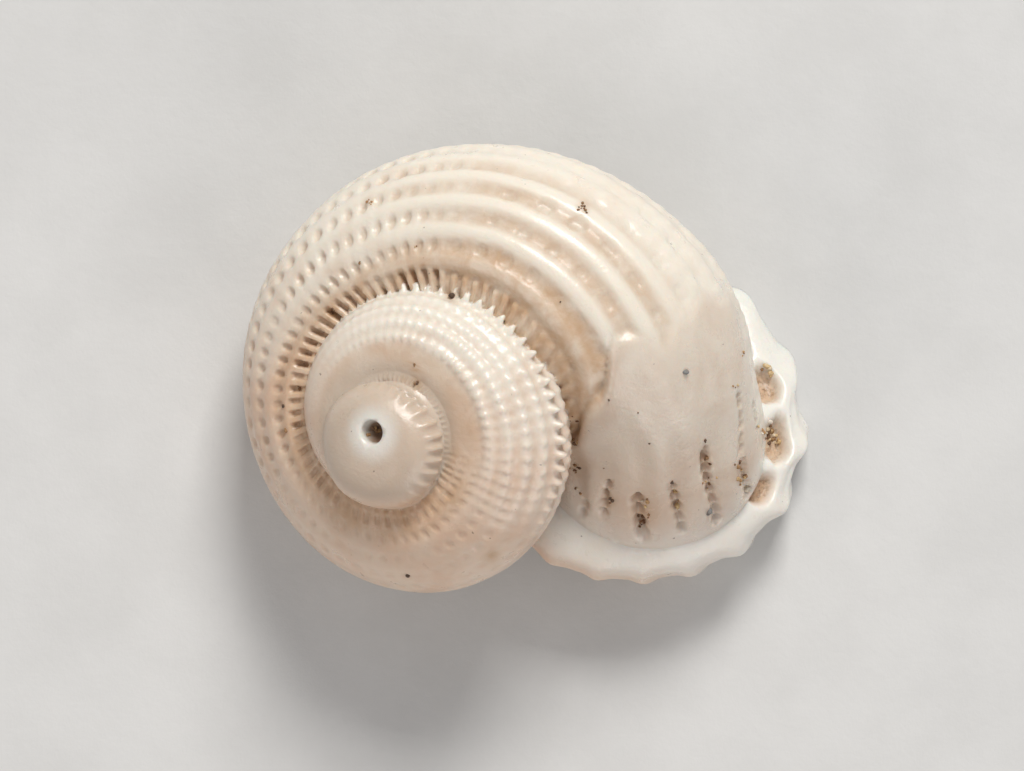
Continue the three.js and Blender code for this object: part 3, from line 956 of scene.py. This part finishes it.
def grains():
    """The sand and dirt stuck in the pits and slots, found by looking straight down on each place."""
    dice = np.random.default_rng(SEED)
    ground = bmesh.new()
    ground.from_mesh(shell.data)
    tree = BVHTree.FromBMesh(ground)
    ground.free()
    mesh = bmesh.new()
    shades = []
    for x, y, spread, count, size, low, high in GRAINS:
        for _ in range(count):
            away = dice.normal(0, 0.5, 2) * spread
            start = Vector(((x + away[0]) * MM, (y + away[1]) * MM, DROPPED_FROM * MM))
            hit, normal, _, _ = tree.ray_cast(start, Vector((0, 0, -1)))
            if hit is None or hit.z < GRAINS_ABOVE * MM:
                continue
            lump = add_grain(mesh, dice, hit / MM, normal, size * dice.uniform(0.6, 1.25))
            shades += [dice.uniform(low, high)] * len(lump)
    made = bpy.data.objects.new("grains", bpy.data.meshes.new("grains"))
    mesh.to_mesh(made.data)
    mesh.free()
    bpy.context.scene.collection.objects.link(made)
    paint(made, "shade", shades)
    made.data.materials.append(grain_material())
    return made


specks = grains()
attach(specks, "root")


def floor_material():
    made = Shader("floor_pale")
    mottle = made.between(made.noise(3, 4, 0.6), 0.3, 0.7)
    made.put(made.surface.inputs["Base Color"], made.blend(mottle, FLOOR_DARK, FLOOR_LIGHT))
    made.surface.inputs["Roughness"].default_value = 0.8
    made.bump([(made.noise(0.25, 3, 0.6), 0.01)])
    return made.material


def floor():
    bpy.ops.mesh.primitive_plane_add(size=2, location=(0, 0, 0))
    made = bpy.context.object
    made.name = "floor"
    made.data.materials.append(floor_material())


def lamp(name, place, aim, size, power, colour=(1, 1, 1)):
    light = bpy.data.lights.new(name, "AREA")
    light.size = size
    light.energy = power
    light.color = colour
    made = bpy.data.objects.new(name, light)
    bpy.context.scene.collection.objects.link(made)
    made.location = place
    made.rotation_euler = (Vector(aim) - Vector(place)).to_track_quat("-Z", "Y").to_euler()


def camera():
    data = bpy.data.cameras.new("camera")
    data.lens = data.sensor_width * CAMERA_HEIGHT / FRAME_WIDTH
    data.clip_start = 0.01
    made = bpy.data.objects.new("camera", data)
    bpy.context.scene.collection.objects.link(made)
    made.location = (*FRAME_CENTRE, CAMERA_HEIGHT + CAMERA_RAISED)
    bpy.context.scene.camera = made


floor()
camera()
lamp("window", (0.05, 0.22, 0.22), (0, 0, 0), 0.11, 0.88, (1.0, 0.985, 0.96))
lamp("fill", (-0.22, -0.12, 0.2), (0, 0, 0), 0.2, 0.2, (1.0, 0.9, 0.8))
lamp("bounce", (0.14, -0.24, 0.14), (0, 0, 0), 0.2, 0.3, (1.0, 0.97, 0.95))
world = bpy.data.worlds.new("world")
bpy.context.scene.world = world
world.use_nodes = True
world.node_tree.nodes["Background"].inputs["Color"].default_value = (0.9, 0.93, 1, 1)
world.node_tree.nodes["Background"].inputs["Strength"].default_value = 0.3
bpy.context.scene.view_settings.view_transform = "Standard"
